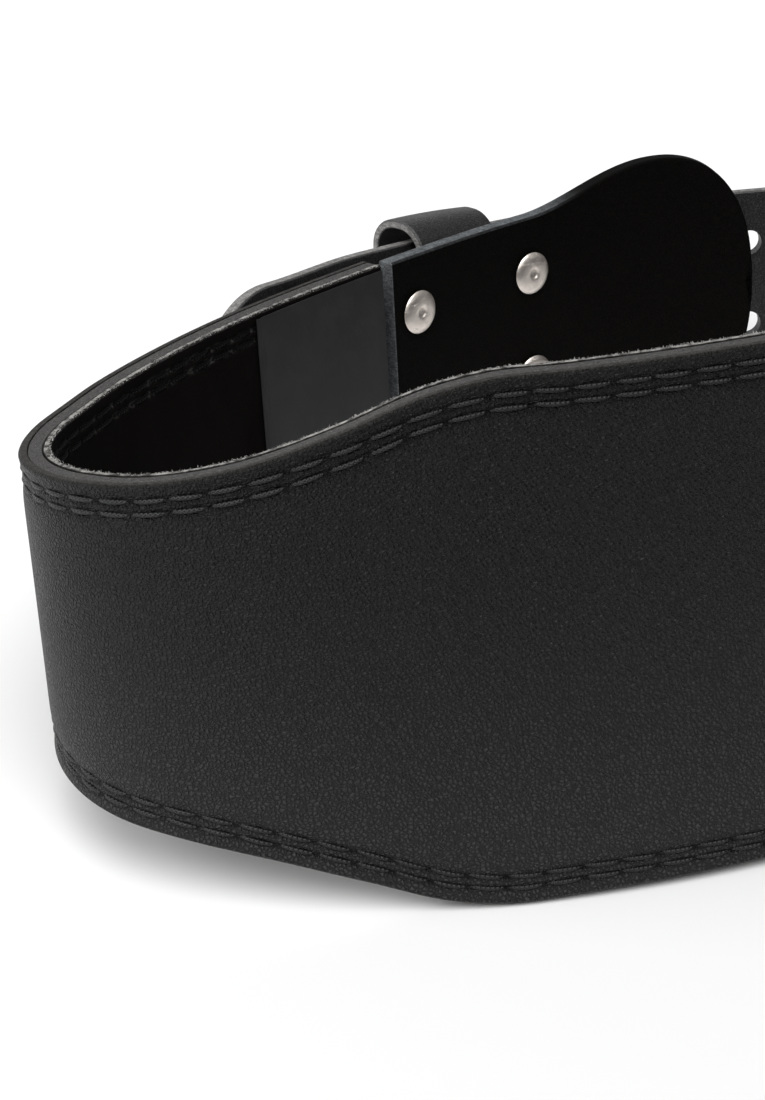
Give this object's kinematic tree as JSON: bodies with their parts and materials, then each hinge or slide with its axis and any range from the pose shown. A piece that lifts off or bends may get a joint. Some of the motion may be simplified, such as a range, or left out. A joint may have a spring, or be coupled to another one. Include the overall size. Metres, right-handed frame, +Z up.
{
  "type": "weightlifting belt",
  "caption": "Padded leather lifting belt: wide back tapering to a strap, closed into a loop by a two-prong roller buckle with a keeper.",
  "frame": {"origin": "centre of the bounding box in plan, on the floor that the belt stands on", "axes": "+Z up, +Y towards the buckle side, +X to the wearer's side seen on the right from behind the wide back"},
  "size_m": [0.317, 0.189, 0.1016],
  "materials": {
    "outer_leather": "fine-grained black leather, satin",
    "core_ply": "bare grey cut edge, matt",
    "suede_lining": "black suede, matt",
    "inner_label": "plain dark satin ribbon",
    "strap_leather": "smooth black strap leather",
    "nickel_steel": "nickel-plated round wire",
    "rivet_nickel": "nickel-plated rivet caps"
  },
  "bodies": {
    "root": {"outer_leather": "outer_leather", "core_ply": "core_ply", "suede_lining": "suede_lining", "inner_label": "inner_label", "buckle_flap": "strap_leather", "buckle_chape": "strap_leather", "keeper_loop": "strap_leather", "billet_strap": "strap_leather", "buckle_frame": "nickel_steel", "buckle_roller": "nickel_steel", "prong_lower": "nickel_steel", "prong_upper": "nickel_steel", "rivet_flap_lower_1": "rivet_nickel", "rivet_flap_lower_2": "rivet_nickel", "rivet_flap_upper_1": "rivet_nickel", "rivet_flap_upper_2": "rivet_nickel", "rivet_billet_lower_1": "rivet_nickel", "rivet_billet_lower_2": "rivet_nickel", "rivet_billet_upper_1": "rivet_nickel", "rivet_billet_upper_2": "rivet_nickel"}
  },
  "joints": []
}
